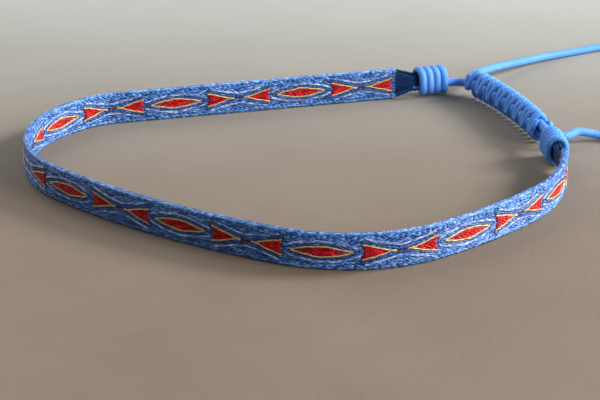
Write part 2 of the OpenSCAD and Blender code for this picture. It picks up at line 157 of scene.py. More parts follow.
# Flat pieces are drawn as (along, up, out) in millimetres. Along is 0 at the left bend, positive to the
# front and negative to the back.
def layOnBand(flat):
    flat = np.asarray(flat, float)
    along, up, out = flat[..., 0], flat[..., 1], flat[..., 2]
    front, back = alongPath(frontPath, along, out), alongPath(backPath, -along, out)
    place = np.where((along >= 0)[..., None], front, back) - middle
    return np.concatenate([place, up[..., None]], -1) * mm


def layAsDrawn(points):
    return np.asarray(points, float) * mm


def unit(v):
    return v / np.maximum(np.linalg.norm(v, axis=-1, keepdims=True), 1e-12)


# Sweeps an oval round each strand: rows of centres, with the way out of the surface at each. The map runs
# along the strand in millimetres and once round it, and tone is how light the yarn is dyed, from 0 to 1.
def sweepStrands(centres, outward, wide, thick, sides, tone=0.5):
    centres = np.asarray(centres, float)
    if centres.ndim == 2:
        centres = centres[None]
    strands, stations = centres.shape[:2]
    outward = np.broadcast_to(outward, centres.shape)
    wide, thick = (np.broadcast_to(v, centres.shape[:2])[..., None, None] for v in (wide, thick))
    along = unit(np.gradient(centres, axis=1))
    outward = unit(outward - (outward * along).sum(-1, keepdims=True) * along)
    side = np.cross(outward, along)
    turn = np.arange(sides) * 2 * math.pi / sides
    ring = (centres[:, :, None] + wide * np.cos(turn)[:, None] * side[:, :, None]
            + thick * np.sin(turn)[:, None] * outward[:, :, None])
    index = np.arange(strands * stations * sides).reshape(strands, stations, sides)
    a, b = index[:, :-1], index[:, 1:]
    quads = np.stack([a, np.roll(a, -1, 2), np.roll(b, -1, 2), b], -1).reshape(-1, 4)
    ends = np.concatenate([index[:, 0, ::-1], index[:, -1]], 0)
    step = np.linalg.norm(np.diff(centres, axis=1), axis=-1)
    run = np.concatenate([np.zeros((strands, 1)), np.cumsum(step, 1)], 1)
    share = np.arange(sides + 1) / sides
    u = np.stack([run[:, :-1], run[:, :-1], run[:, 1:], run[:, 1:]], -1)[:, :, None, :].repeat(sides, 2)
    v = np.broadcast_to(np.stack([share[:-1], share[1:], share[1:], share[:-1]], -1), u.shape)
    tone = np.asarray(tone, float)
    tone = tone[:, None] if tone.ndim == 1 else tone
    tones = np.broadcast_to(tone[..., None], (strands, stations, sides))
    return {"points": ring.reshape(-1, 3), "quads": quads, "ends": ends,
            "uv": np.stack([u, v], -1).reshape(-1, 2), "tones": tones.reshape(-1)}


# Joins swept strands into one smooth mesh, with the lay that carries flat millimetres to their place
def makePiece(name, parts, material, lay):
    points, faces, uv, tones, base = [], [], [], [], 0
    for part in parts:
        points.append(part["points"])
        faces += (part["quads"] + base).tolist() + (part["ends"] + base).tolist()
        uv += [part["uv"], np.zeros((part["ends"].size, 2))]
        tones.append(part["tones"])
        base += len(part["points"])
    mesh = bpy.data.meshes.new(name)
    mesh.from_pydata(lay(np.concatenate(points)).tolist(), [], faces)
    threadMap = mesh.uv_layers.new(name="threadMap")
    threadMap.data.foreach_set("uv", np.concatenate(uv).astype(np.float32).ravel())
    toneOfPoint = mesh.attributes.new("tone", "FLOAT", "POINT")
    toneOfPoint.data.foreach_set("value", np.concatenate(tones).astype(np.float32))
    mesh.materials.append(material)
    mesh.shade_smooth()
    piece = bpy.data.objects.new(name, mesh)
    bpy.context.collection.objects.link(piece)
    print(name, len(mesh.polygons), "faces")
    return piece


def linearColour(text):
    parts = [int(text[i:i + 2], 16) / 255 for i in (1, 3, 5)]
    return [c / 12.92 if c <= 0.04045 else ((c + 0.055) / 1.055) ** 2.4 for c in parts] + [1]


def addNode(tree, kind, inputs=(), **settings):
    node = tree.nodes.new("ShaderNode" + kind)
    for name, value in settings.items():
        setattr(node, name, value)
    for name, value in dict(inputs).items():
        if isinstance(value, bpy.types.NodeSocket):
            tree.links.new(value, node.inputs[name])
        else:
            node.inputs[name].default_value = value
    return node


def mathNode(tree, operation, values, clamp=False):
    return addNode(tree, "Math", enumerate(values), operation=operation, use_clamp=clamp).outputs[0]


def noiseNode(tree, place, scale, detail, roughness=0.5):
    inputs = {"Vector": place.outputs["Object"], "Scale": scale, "Detail": detail, "Roughness": roughness}
    return addNode(tree, "TexNoise", inputs).outputs["Fac"]


# A ramp over evenly spaced colours, from dark to light
def rampNode(tree, factor, colours):
    ramp = addNode(tree, "ValToRGB", {"Fac": factor})
    stops = ramp.color_ramp.elements
    for i in range(1, len(colours) - 1):
        stops.new(i / (len(colours) - 1))
    for stop, colour in zip(stops, colours):
        stop.color = linearColour(colour)
    return ramp.outputs["Color"]


def newMaterial(name):
    material = bpy.data.materials.new(name)
    material.use_nodes = True
    material.node_tree.nodes.clear()
    return material, material.node_tree, addNode(material.node_tree, "TexCoord")


# The shader with its fine relief, whose depth is in metres
def addSurface(tree, height, strength, depth, inputs):
    bump = addNode(tree, "Bump", {"Height": height, "Strength": strength, "Distance": depth})
    shader = addNode(tree, "BsdfPrincipled", {**inputs, "Normal": bump.outputs["Normal"]})
    addNode(tree, "OutputMaterial", {"Surface": shader.outputs["BSDF"]})


# What a yarn has unless its own settings say otherwise. Twist is in millimetres to a turn, depth in metres,
# and cloud is the scale of the dye, which never takes quite evenly.
plainYarn = {"plies": 3, "sheen": 0.0, "sheenRoughness": 0.35, "streak": 0.1, "depth": 0.00003, "metal": 0.0,
             "braid": False, "cloudDetail": 3.0, "cloudShare": 0.7}


# Filament yarn: many fine, shiny filaments laid together with a light twist, so it glints along its length
def filamentYarn(name, settings):
    yarn = {**plainYarn, **settings}
    material, tree, place = newMaterial(name)
    tone = addNode(tree, "Attribute", attribute_name="tone").outputs["Fac"]
    cloud = noiseNode(tree, place, yarn["cloud"], yarn["cloudDetail"])
    uneven = mathNode(tree, "MULTIPLY_ADD", [cloud, yarn["cloudShare"], -yarn["cloudShare"] / 2], True)
    shade = mathNode(tree, "ADD", [uneven, tone], True)
    # Filaments 0.02 mm apart don't show at this distance, so the twist is drawn at a few to a turn.
    # A braid has strands that lie both ways.
    uv = addNode(tree, "UVMap", uv_map="threadMap")
    split = addNode(tree, "SeparateXYZ", {"Vector": uv.outputs["UV"]})
    waves = []
    for way in ((1, -1) if yarn["braid"] else (1,)):
        lay = mathNode(tree, "MULTIPLY_ADD", [split.outputs["X"], way / yarn["twist"], split.outputs["Y"]])
        turns = mathNode(tree, "MULTIPLY", [lay, 2 * math.pi * yarn["plies"]])
        waves.append(mathNode(tree, "SINE", [turns]))
    wave = mathNode(tree, "MAXIMUM", [waves[0], waves[-1]])
    streaked = mathNode(tree, "MULTIPLY_ADD", [wave, yarn["streak"], shade], True)
    addSurface(tree, wave, yarn["relief"], yarn["depth"], {
        "Base Color": rampNode(tree, streaked, [yarn["dark"], yarn["colour"], yarn["light"]]),
        "Roughness": yarn["roughness"], "Specular IOR Level": yarn["gloss"], "IOR": yarn["ior"],
        "Specular Tint": linearColour(yarn["glint"]), "Metallic": yarn["metal"],
        "Sheen Weight": yarn["sheen"], "Sheen Roughness": yarn["sheenRoughness"]})
    return material


# Polyester filament, dyed blue and glossy: the tones of its floats run from light to almost navy with uneven
# dye, and the few floats lifted lightest are painted glints
blueYarn = filamentYarn("dyedPolyesterFilament", {
    "colour": "#1E5AAA", "dark": "#092048", "light": "#74A6E4", "glint": "#B6D3FF", "cloud": 500,
    "twist": 0.8, "relief": 0.5, "roughness": 0.3, "gloss": 1.0, "ior": 1.7})
# The same polyester, dyed navy and packed tight, so it hardly shines: the weft. On the gathered ends, whose
# warp is the blue yarn, this dark navy is painted shade.
navyWeftAndShadeYarn = filamentYarn("navyWeftAndPaintedShade", {
    "colour": "#0D2449", "dark": "#07132C", "light": "#1B3E74", "glint": "#7FA8F0", "cloud": 400,
    "twist": 0.8, "relief": 0.4, "roughness": 0.5, "gloss": 0.2, "ior": 1.64})
# Rayon filament, dyed red: a soft shine on deep colour
redYarn = filamentYarn("dyedRayonFilament", {
    "colour": "#A40814", "dark": "#5C0008", "light": "#E02832", "glint": "#FF8484", "cloud": 600,
    "twist": 1.0, "relief": 0.4, "roughness": 0.3, "gloss": 0.6, "ior": 1.54})
# Metallised film, slit and twisted round a core: it sparkles straw-gold
goldYarn = filamentYarn("metallisedFilmThread", {
    "colour": "#C9A862", "dark": "#8C6E36", "light": "#FAEDC4", "glint": "#FFEFC0", "cloud": 700,
    "twist": 0.5, "plies": 2, "relief": 0.6, "roughness": 0.35, "gloss": 0.8, "ior": 1.64, "sheen": 0.1,
    "metal": 0.15, "streak": 0.15})
# Rayon filament, pale lilac-blue: silvery where the light catches it
silverYarn = filamentYarn("paleRayonFilament", {
    "colour": "#7C8EC4", "dark": "#3C5CA8", "light": "#CCD6F4", "glint": "#E6ECFF", "cloud": 700,
    "twist": 0.6, "plies": 2, "relief": 0.5, "roughness": 0.34, "gloss": 0.8, "ior": 1.54, "sheen": 0.1})
# Braided nylon cord, 1 mm: satin, with a fine herringbone of strands
cordYarn = filamentYarn("braidedNylonCord", {
    "colour": "#3F88EA", "dark": "#1F60C8", "light": "#7CB0F6", "glint": "#A8CEFF", "cloud": 300,
    "twist": 3.2, "plies": 8, "relief": 0.7, "roughness": 0.42, "gloss": 0.5, "ior": 1.58, "sheen": 0.05,
    "streak": 0.16, "depth": 0.00006, "braid": True})
print("materials made")


def runAlong(points):
    return np.concatenate([[0], np.cumsum(np.linalg.norm(np.diff(points, axis=0), axis=1))])


# Points along a row at an even spacing, ends included
def evenRow(points, spacing):
    points = np.asarray(points, float)
    run = runAlong(points)
    at = np.linspace(0, run[-1], max(3, int(math.ceil(run[-1] / spacing)) + 1))
    return np.stack([np.interp(at, run, points[:, k]) for k in range(3)], 1)


# The same on one smooth curve through the points, a Catmull-Rom spline
def smoothRow(points, spacing):
    points = np.asarray(points, float)
    ends = np.vstack([2 * points[0] - points[1], points, 2 * points[-1] - points[-2]])
    t = np.linspace(0, 1, 24, endpoint=False)[:, None]
    rows = []
    for a, b, c, d in zip(ends[:-3], ends[1:-2], ends[2:-1], ends[3:]):
        bent = (2 * a - 5 * b + 4 * c - d) * t ** 2 + (3 * b - a - 3 * c + d) * t ** 3
        rows.append(0.5 * (2 * b + (c - a) * t + bent))
    return evenRow(np.vstack(rows + [points[-1:]]), spacing)


def eased(t):
    return t * t * (3 - 2 * t)


# A round cord, its ends rounded over: rim is the share of the radius at each step past the row's end, and
# roundEnd is how far the steps reach
cordShape = {"sides": 14, "rim": [0.97, 0.7, 0.12], "flat": 0.5, "roundEnd": 0.25, "spacing": 0.2}


def tube(row, outward, radius):
    row = np.asarray(row, float)
    first, last = unit(row[0] - row[1]), unit(row[-1] - row[-2])
    rim = np.array(cordShape["rim"])
    shut = np.sin(np.arccos(rim)) * cordShape["flat"]
    full = np.concatenate([[row[0] + first * radius * s for s in shut[::-1]], row,
                           [row[-1] + last * radius * s for s in shut]])
    size = np.concatenate([rim[::-1], np.ones(len(row)), rim]) * radius
    if np.ndim(outward) > 1:
        more = len(rim)
        outward = np.concatenate([outward[:1].repeat(more, 0), outward, outward[-1:].repeat(more, 0)])
    return sweepStrands(full, outward, size, size, cordShape["sides"])


# The two tails are the free cords, so they are made first
def circleAt(distance, up):
    spot = closeRadius * heading(math.degrees(distance / closeRadius)) - middle
    return [spot[0], spot[1], midHeight + up]


# A cord's turn away from the closing circle, on a bend of twice its diameter
def turnedOut(tail):
    bend, side = 2 * closure["cord"], tail["inward"]
    facing = math.degrees(tail["at"] / closeRadius) - side * 90
    place = np.array(circleAt(tail["at"], tail["up"]))
    centre = place[:2] + bend * heading(facing + side * 90)
    turned = [side * tail["turn"] * (i + 1) / tail["steps"] for i in range(tail["steps"])]
    spots = [centre + bend * heading(facing + turn - side * 90) for turn in turned]
    return [[s[0], s[1], place[2]] for s in spots]


# The short side's one flat turn, its angles in degrees. It comes in from outside, narrows, and leaves
# inward and up to its knot.
coil = {"centre": [45, 13.2], "from": -100, "to": 332, "steps": 24, "radius": 5.02, "narrows": 0.0029,
        "enters": -70, "outside": 0.64, "enterSpan": 48, "leaves": 180, "inside": 1.14, "leaveSpan": 152,
        "lifts": 290, "lift": 0.7, "liftSpan": 62}


def coilTurn():
    points = []
    for angle in np.linspace(coil["from"], coil["to"], coil["steps"]):
        radius = coil["radius"] - coil["narrows"] * angle
        radius += coil["outside"] * max(0, (coil["enters"] - angle) / coil["enterSpan"]) ** 2
        radius -= coil["inside"] * max(0, (angle - coil["leaves"]) / coil["leaveSpan"]) ** 2
        height = cordRadius + coil["lift"] * max(0, (angle - coil["lifts"]) / coil["liftSpan"]) ** 2
        points.append(list(coil["centre"] + radius * heading(angle)) + [height])
    return points


# Each tail's way from its own end of the knot to its stopper knot. Its length is in metres.
tails = [{"name": "shortSideTail", "nodes": ["short_side_tail", "short_side_tail_coil"],
          "knotName": "shortSideStopper", "knotNode": "short_side_stopper_knot",
          "at": knotStart, "up": -closure["rise"], "inward": 1, "turn": 128, "steps": 5, "length": 0.055,
          "way": [[33.7, 9, 1.3], [36.4, 9.6, 0.6], [39, 8.6, 0.5], [41.5, 8, 0.5]] + coilTurn(),
          "knot": [47.2, 13.8, 1.2], "knotHeading": 120},
         {"name": "farSideTail", "nodes": ["far_side_tail"],
          "knotName": "farSideStopper", "knotNode": "far_side_stopper_knot",
          "at": knotEnd, "up": closure["rise"], "inward": -1, "turn": 66, "steps": 4, "length": 0.045,
          "way": [[25.2, 31.4, 2], [27.2, 34.6, 1.4], [30.8, 38.2, 1], [34.6, 41.4, 0.7], [38.4, 44, 0.5],
                  [42.4, 46.2, 0.5], [46.8, 48.6, 0.5], [50.6, 50.6, 0.6]],
          "knot": [55.2, 51.8, 1.2], "knotHeading": 12}]
stopper = {"across": 0.42, "round": 0.36, "long": 1.25, "cord": 0.42, "stub": 0.8, "tip": 1.2, "under": 0.2,
           "stations": 91}


# An overhand knot pulled tight: three crossing turns round the cord, and the cord's end standing out of it
def stopperKnot(tail):
    t = np.linspace(0, 1, stopper["stations"])[:, None] * 2 * math.pi
    ring = stopper["across"] + stopper["round"] * np.cos(3 * t)
    crossing = np.hstack([stopper["long"] * stopper["round"] * np.sin(3 * t), ring * np.cos(2 * t),
                          ring * np.sin(2 * t)])
    straight = evenRow([[-stopper["stub"] - stopper["under"], 0, 0], [stopper["tip"], 0, 0]],
                       cordShape["spacing"])
    way, offset = heading(tail["knotHeading"]), np.array([0, 1e-3, 2e-3])
    turn = np.array([[way[0], way[1], 0], [-way[1], way[0], 0], [0, 0, 1]])
    parts = []
    for row, radius in ((crossing, stopper["cord"]), (straight, cordRadius)):
        away = (row * [0, 1, 1] + offset) @ turn
        parts.append(tube(row @ turn + tail["knot"], away, radius))
    return parts


def makeTail(tail):
    exit = circleAt(tail["at"], tail["up"])
    inside = tail["inward"] * (closure["grip"] - cordShape["roundEnd"])
    stub = np.array(tail["knot"]) - stopper["stub"] * np.append(heading(tail["knotHeading"]), 0)
    start = [circleAt(tail["at"] + inside, tail["up"]), exit] + turnedOut(tail)
    row = smoothRow(start + tail["way"] + [stub], cordShape["spacing"])
    knot = makePiece(tail["knotName"], stopperKnot(tail), cordYarn, layAsDrawn)
    piece = makePiece(tail["name"], [tube(row, [0, 0, 1], cordRadius)], cordYarn, layAsDrawn)
    for made, stands in ((piece, tail["nodes"]), (knot, [tail["knotNode"]])):
        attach(made, "sliding_knot")
        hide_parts(*stands)
    print(tail["name"], "is %.1f mm long" % runAlong(row)[-1])


for tail in tails:
    makeTail(tail)

# The pattern: lozenges at each repeat, first being how far a half's first one lies from the left bend.
# Reach is half a length and tall half a height. Arrowheads start at their distance from the lozenge.
halves = {"front": {"sign": 1, "end": frontEnd, "first": 10.4},
          "back": {"sign": -1, "end": backEnd, "first": 13.5}}
repeat = 16.0
halfRepeat = repeat / 2
diamond = {"reach": 3.1, "tall": 0.64, "red": 2.42, "power": 1.5}
arrow = {"at": 4.0, "length": 3.4, "tall": 0.89, "red": 0.84, "power": 0.86, "notch": 0.22}
bow = {"reach": 3.7, "end": 0.4, "middle": 1.08}
spread = {"reach": 3.6, "neck": 0.6, "most": 1.37, "power": 1.3}


def centresOf(half):
    count = int((half["end"] - half["first"] + halfRepeat) / repeat) + 1
    return [half["first"] + i * repeat for i in range(count)]


# A lozenge's half height, with sides that bow a little
def lens(x, tall):
    return tall * (1 - np.abs(x / diamond["reach"]) ** diamond["power"])


# An arrowhead's half height from its base at 0 to its tip at 1. The last sixth is all gold.
def slopeAt(t):
    return np.clip(1 - t / arrow["red"], 0, 1) ** arrow["power"]


# The pale lines' height from the band's middle: they spread from where two arrowheads meet, and bow round
# each lozenge
def spreadAt(x):
    share = np.minimum(1, np.abs(x) / spread["reach"]) ** spread["power"]
    return spread["neck"] + (spread["most"] - spread["neck"]) * share


def bowAt(x):
    return bow["end"] + (bow["middle"] - bow["end"]) * (1 - (x / bow["reach"]) ** 2)


def paleLineAt(half, distance):
    k = np.maximum(0, np.round((distance - half["first"]) / repeat))
    x = np.abs(distance - half["first"] - k * repeat)
    line = np.where(x < bow["reach"], bowAt(x), spreadAt(halfRepeat - np.minimum(x, halfRepeat)))
    return np.where(distance < half["first"] - halfRepeat, spread["neck"], line)


# Distances from the left bend, turned into along, which is negative on the back
def alongOf(half, start, end):
    return (start, end) if half["sign"] > 0 else (-end, -start)


# Floats arch up between their ends, and the yarn is slimmer where it dives. A float that an end of the
# cloth would cut shorter than the shortest is left out.
taper = {"shortest": 0.15, "power": 0.7, "slimmest": 0.45, "varies": 0.15}
threadSides = 6


def archAt(t):
    arch = np.sin(math.pi * t) ** taper["power"]
    return arch, taper["slimmest"] + (1 - taper["slimmest"]) * arch


# Where a half's floats lie: in lanes, half a float apart from lane to lane, and none quite in its place
def floatRuns(half, cloth):
    rows = int(half["end"] / cloth["pitch"]) + 1
    lane, row = np.meshgrid(np.arange(cloth["lanes"]), np.arange(rows), indexing="ij")
    lane, row = lane.ravel(), row.ravel()
    middle = row + 0.5 * (lane % 2) + 0.25
    if cloth["laneStray"]:
        middle = middle + chance.uniform(-cloth["laneStray"], cloth["laneStray"], cloth["lanes"])[lane]
    middle = middle * cloth["pitch"] + chance.uniform(-cloth["stray"], cloth["stray"], lane.size)
    share = chance.uniform(1 - taper["varies"], 1 + taper["varies"], lane.size)
    length = cloth["length"] * share
    start, end = np.maximum(middle - length / 2, 0), np.minimum(middle + length / 2, half["end"])
    keep = end - start > taper["shortest"]
    return lane[keep], middle[keep], start[keep], end[keep]


# Floats over a flat face, each leaning a little in its lane
def flatFloats(start, end, height, rise, low, high, wide, thick, tone, side, stations):
    t = np.linspace(0, 1, stations)
    arch, slim = archAt(t)
    along = start[:, None] + (end - start)[:, None] * t
    up = height[:, None] + rise[:, None] * (t - 0.5)
    out = np.broadcast_to(low + (high - low) * arch, along.shape) * side
    centres = np.stack([along, up, out], -1)
    return sweepStrands(centres, [0, 0, side], wide[:, None] * slim, thick * slim, threadSides, tone)


# The warp faces: lanes of yarn, darker between the pale lines, with a float here and there painted lighter
# as a painted glint
weave = {"lanes": 21, "lanePitch": 0.162, "laneStray": 0.2, "stray": 0.07, "heightStray": 0.012,
         "pitch": 0.6, "length": 0.88, "rise": 0.085, "low": 0.16, "high": 0.305, "outerDrop": 0.03,
         "wide": 0.096, "thick": 0.07, "tone": 0.47, "varies": 0.22, "inside": 0.2, "paintedGlintShare": 0.1,
         "glint": 0.45, "stations": 4, "rises": (-0.3, 2.0), "widths": (0.9, 1.12)}


def warpFace(half, side):
    lane, middle, start, end = floatRuns(half, weave)
    outermost = weave["lanes"] // 2
    height = midHeight + (lane - (weave["lanes"] - 1) / 2) * weave["lanePitch"]
    height = height + chance.normal(0, weave["heightStray"], lane.size)
    inside = np.abs(height - midHeight) < paleLineAt(half, middle)
    tone = weave["tone"] + chance.normal(0, weave["varies"], lane.size) - weave["inside"] * inside
    # Painted highlight: a share of the floats is lifted much lighter, to stand for glints
    paintedHighlight = chance.random(lane.size) < weave["paintedGlintShare"]
    tone = np.clip(np.where(paintedHighlight, tone + weave["glint"], tone), 0, 1)
    rise = weave["rise"] * chance.uniform(*weave["rises"], lane.size)
    wide = weave["wide"] * chance.uniform(*weave["widths"], lane.size)
    high = weave["high"] - weave["outerDrop"] * (np.abs(lane - outermost) == outermost)[:, None]
    start, end = alongOf(half, start, end)
    return [flatFloats(start, end, height, rise, weave["low"], high, wide, weave["thick"], tone, side,
                       weave["stations"])]


# The weft: one straight pick after another, which shows only between the floats
weft = {"pitch": 0.56, "wide": 0.24, "thick": 0.13, "reach": 1.62, "slims": 0.3, "sides": 8, "stations": 7,
        "short": 0.1, "varies": 0.1}


def weftPicks(half):
    middle = np.arange(weft["pitch"] / 2, half["end"] - weft["short"], weft["pitch"]) * half["sign"]
    t = np.linspace(-1, 1, weft["stations"])
    centres = np.zeros((middle.size, weft["stations"], 3))
    centres[..., 0] = middle[:, None]
    centres[..., 1] = midHeight + weft["reach"] * t
    slim = 1 - weft["slims"] * t ** 4
    tone = np.clip(0.5 + chance.normal(0, weft["varies"], middle.size), 0, 1)
    return [sweepStrands(centres, [0, 0, 1], weft["wide"] * slim, weft["thick"] * slim, weft["sides"], tone)]


# The edges: nine lanes of floats laid round each edge, swelling a little every millimetre or so. From,
# span and lean are degrees.
edge = {"lanes": 9, "from": -36, "span": 252, "out": 0.265, "up": 0.16, "wide": 0.104, "thick": 0.072,
        "laneStray": 0, "stray": 0.08, "pitch": 0.62, "length": 0.84, "lean": 24, "angleStray": 3,
        "scallop": 0.042, "scallopPitch": 1.1, "wander": 1.3, "tucked": 0.68, "tone": 0.48, "varies": 0.22,
        "paintedGlintShare": 0.08, "glint": 0.4, "stations": 5, "leans": (0.4, 1.4), "drift": 0.9}


def edgeFloats(half, height, way):
    lane, _, start, end = floatRuns(half, edge)
    start, end = alongOf(half, start, end)
    t = np.linspace(0, 1, edge["stations"])
    arch, slim = archAt(t)
    angle = edge["from"] + lane * edge["span"] / (edge["lanes"] - 1)
    angle = angle + chance.normal(0, edge["angleStray"], lane.size)
    lean = edge["lean"] * chance.uniform(*edge["leans"], lane.size)
    angle = np.radians(angle[:, None] + lean[:, None] * (t - 0.5))
    along = start[:, None] + (end - start)[:, None] * t
    wander = edge["wander"] * np.sin(along * edge["drift"])
    swell = edge["scallop"] * np.sin(2 * math.pi * along / edge["scallopPitch"] + wander)
    size = edge["tucked"] + (1 - edge["tucked"]) * arch
    up = height + way * (edge["up"] + swell) * np.sin(angle) * size
    out = (edge["out"] + 0.5 * swell) * np.cos(angle) * size
    away = np.stack([0 * up, way * np.sin(angle), np.cos(angle)], -1)
    tone = edge["tone"] + chance.normal(0, edge["varies"], lane.size)
    # Painted highlight: a share of the edge floats is lifted lighter, to stand for glints
    tone = np.clip(tone + edge["glint"] * (chance.random(lane.size) < edge["paintedGlintShare"]), 0, 1)
    return [sweepStrands(np.stack([along, up, out], -1), away, edge["wide"] * slim, edge["thick"] * slim,
                         threadSides, tone)]


# Even points over the cloth, through distances from the left bend and heights from the band's middle
def clothRow(half, distance, height, out, spacing):
    along = half["sign"] * distance
    return evenRow(np.stack([along, midHeight + height, np.full(len(along), out)], 1), spacing)


# Hand weaving leaves no line quite true, so each strays by a few hundredths of a millimetre
def wobbled(row):
    along = row[:, 0]
    for length, reach in ((2.3, 0.022), (0.9, 0.012)):
        row[:, 1] += reach * np.sin(2 * math.pi * (along / length + chance.random()))
    return row


# Gold outlines are fine two-ply threads, each ply wound round the outline's own line
gold = {"plies": 2, "twist": 0.6, "high": 0.042, "deep": 0.02, "wide": 0.066, "thick": 0.044, "sides": 5,
        "spacing": 0.06, "out": 0.402, "clear": 0.015, "diamondInset": 0.085, "arrowInset": 0.08}


def goldOutline(half, distance, height, side):
    row = wobbled(clothRow(half, distance, height, gold["out"] * side, gold["spacing"]))
    outward = np.broadcast_to([0.0, 0.0, side], row.shape)
    across = np.cross(outward, unit(np.gradient(row, axis=0)))
    parts = []
    for k in range(gold["plies"]):
        turn = 2 * math.pi * (runAlong(row) / gold["twist"] + k / gold["plies"])
        high, deep = np.cos(turn)[:, None] * across, np.sin(turn)[:, None] * outward
        centres = row + gold["high"] * high + gold["deep"] * deep
        away = unit(high / gold["high"] + deep / gold["deep"])
        parts.append(sweepStrands(centres, away, gold["wide"], gold["thick"], gold["sides"]))
    return parts


def goldLines(half, side):
    parts = []
    for c, v in product(centresOf(half), (-1, 1)):
        if c + diamond["reach"] < half["end"]:
            xs = np.linspace(-diamond["reach"], diamond["reach"], 25)
            ys = lens(xs, diamond["tall"] - gold["diamondInset"]) + gold["clear"]
            parts += goldOutline(half, c + xs, v * ys, side)
        for e in (-1, 1):
            base, tip = c + e * arrow["at"], c + e * (arrow["at"] + arrow["length"])
            if 0 < min(base, tip) and max(base, tip) < half["end"]:
                t = np.linspace(0, 1, 17)
                ys = (arrow["tall"] - gold["arrowInset"]) * slopeAt(t) + gold["clear"]
                parts += goldOutline(half, base + (tip - base) * t, v * ys, side)
    return parts


# Pale and dark lines are rows of short stitches, each with its own shade and slimmer where it goes under
stitch = {"spacing": 0.09, "length": 0.6, "dip": 0.03, "narrowest": 0.5}


def stitched(half, distance, height, side, thread):
    row = clothRow(half, distance, height, thread["out"] * side, stitch["spacing"])
    run = np.arange(len(row)) * stitch["spacing"] / stitch["length"] + chance.random()
    beat = np.abs(np.sin(math.pi * run)) ** 0.5
    shades = thread["tone"] + chance.normal(0, thread["varies"], int(run[-1]) + 2)
    row[:, 2] += side * stitch["dip"] * (beat - 1)
    size = stitch["narrowest"] + (1 - stitch["narrowest"]) * beat
    return sweepStrands(wobbled(row), [0, 0, side], thread["wide"] * size, thread["thick"] * size,
                        threadSides, np.clip(shades, 0, 1)[run.astype(int)][None])


# The pale lines are two threads side by side. Each bow runs on a little past its ends.
pale = {"gap": 0.1, "out": 0.4, "wide": 0.06, "thick": 0.044, "tone": 0.48, "varies": 0.34,
        "bowPast": 0.15, "spreadPast": 0.1, "short": 0.1}


def paleLines(half, side):
    parts, reach = [], bow["reach"]
    runs = [(0.0, half["first"] - halfRepeat, lambda d: np.full(np.shape(d), spread["neck"]))]
    for c in centresOf(half):
        if c + reach < half["end"]:
            past = reach + pale["bowPast"]
            runs.append((c - past, c + past, lambda d, c=c: bowAt(d - c)))
        for e in (-1, 1):
            far = c + e * halfRepeat
            near = far - e * (spread["reach"] + pale["spreadPast"])
            if 0 < near < half["end"]:
                last = min(max(near, far), half["end"] - pale["short"])
                runs.append((min(near, far), last, lambda d, x=far: spreadAt(d - x)))
    for start, end, rule in runs:
        xs = np.linspace(start, end, 21)
        for v, shift in product((-1, 1), (-0.5, 0.5)):
            parts.append(stitched(half, xs, v * rule(xs) + shift * pale["gap"], side, pale))
    return parts


# Two dark blue threads lie between each gold outline and the pale line beside it
dark = {"shares": (0.33, 0.7), "out": 0.378, "wide": 0.08, "thick": 0.04, "tone": 0.3, "varies": 0.2,
        "short": 0.1, "tip": 0.98, "clear": 0.4}


def darkThreads(half, side):
    parts, reach = [], bow["reach"] - dark["short"]
    for c, share, v in product(centresOf(half), dark["shares"], (-1, 1)):
        if c + bow["reach"] < half["end"]:
            xs = np.linspace(-reach, reach, 27)
            ys = np.maximum(0, lens(xs, diamond["tall"]))
            ys = ys + (bowAt(xs) - ys) * share
            parts.append(stitched(half, xs + c, ys * v, side, dark))
        for e in (-1, 1):
            cross, base = c + e * halfRepeat, c + e * arrow["at"]
            if dark["clear"] < min(base, cross) and max(base, cross) < half["end"]:
                ts = np.linspace(0, 1, 17) * dark["tip"]
                ys = arrow["tall"] * slopeAt(ts)
                xs = base + (cross - base) * ts
                ys = ys + (spreadAt(xs - cross) - ys) * share
                parts.append(stitched(half, xs[::e], (ys * v)[::e], side, dark))
    return parts


# Red floats fill the lozenges and arrowheads, lane by lane, inside their gold outlines
red = {"lanePitch": 0.132, "pitch": 0.6, "overlap": 0.06, "wide": 0.084, "thick": 0.055, "low": 0.345,
       "high": 0.398, "rise": 0.05, "tone": 0.5, "varies": 0.22, "darkest": 0.05, "stations": 5,
       "diamondInset": 0.17, "diamondLanes": 3, "diamondShare": 0.95, "arrowInset": 0.14, "arrowLanes": 5,
       "arrowShare": 0.97, "tipPast": 0.08, "widths": (0.92, 1.08)}
# One dark red thread runs from tip to tip where two arrowheads meet
join = {"reach": 0.62, "out": 0.375, "wide": 0.07, "thick": 0.035, "tone": 0.1, "spacing": 0.1,
        "clear": 0.4, "endClear": 0.7, "room": 1}


# One lane of a red fill, as rows of start, end, height and tone. Odd lanes start half a float later.
def fillLane(a, b, y, odd):
    edges = np.arange(a + (0.5 * red["pitch"] if odd else 0), b, red["pitch"])
    inner = (edges > a + taper["shortest"]) & (edges < b - taper["shortest"])
    edges = np.unique(np.concatenate([[a], edges[inner], [b]]))
    return [(x0 - red["overlap"] if x0 > a else x0, x1 + red["overlap"] if x1 < b else x1,
             midHeight + y, red["tone"] + chance.normal(0, red["varies"]))
            for x0, x1 in zip(edges[:-1], edges[1:])]


def lanesOf(count):
    return [(k * red["lanePitch"], k % 2) for k in range(-count, count + 1)]


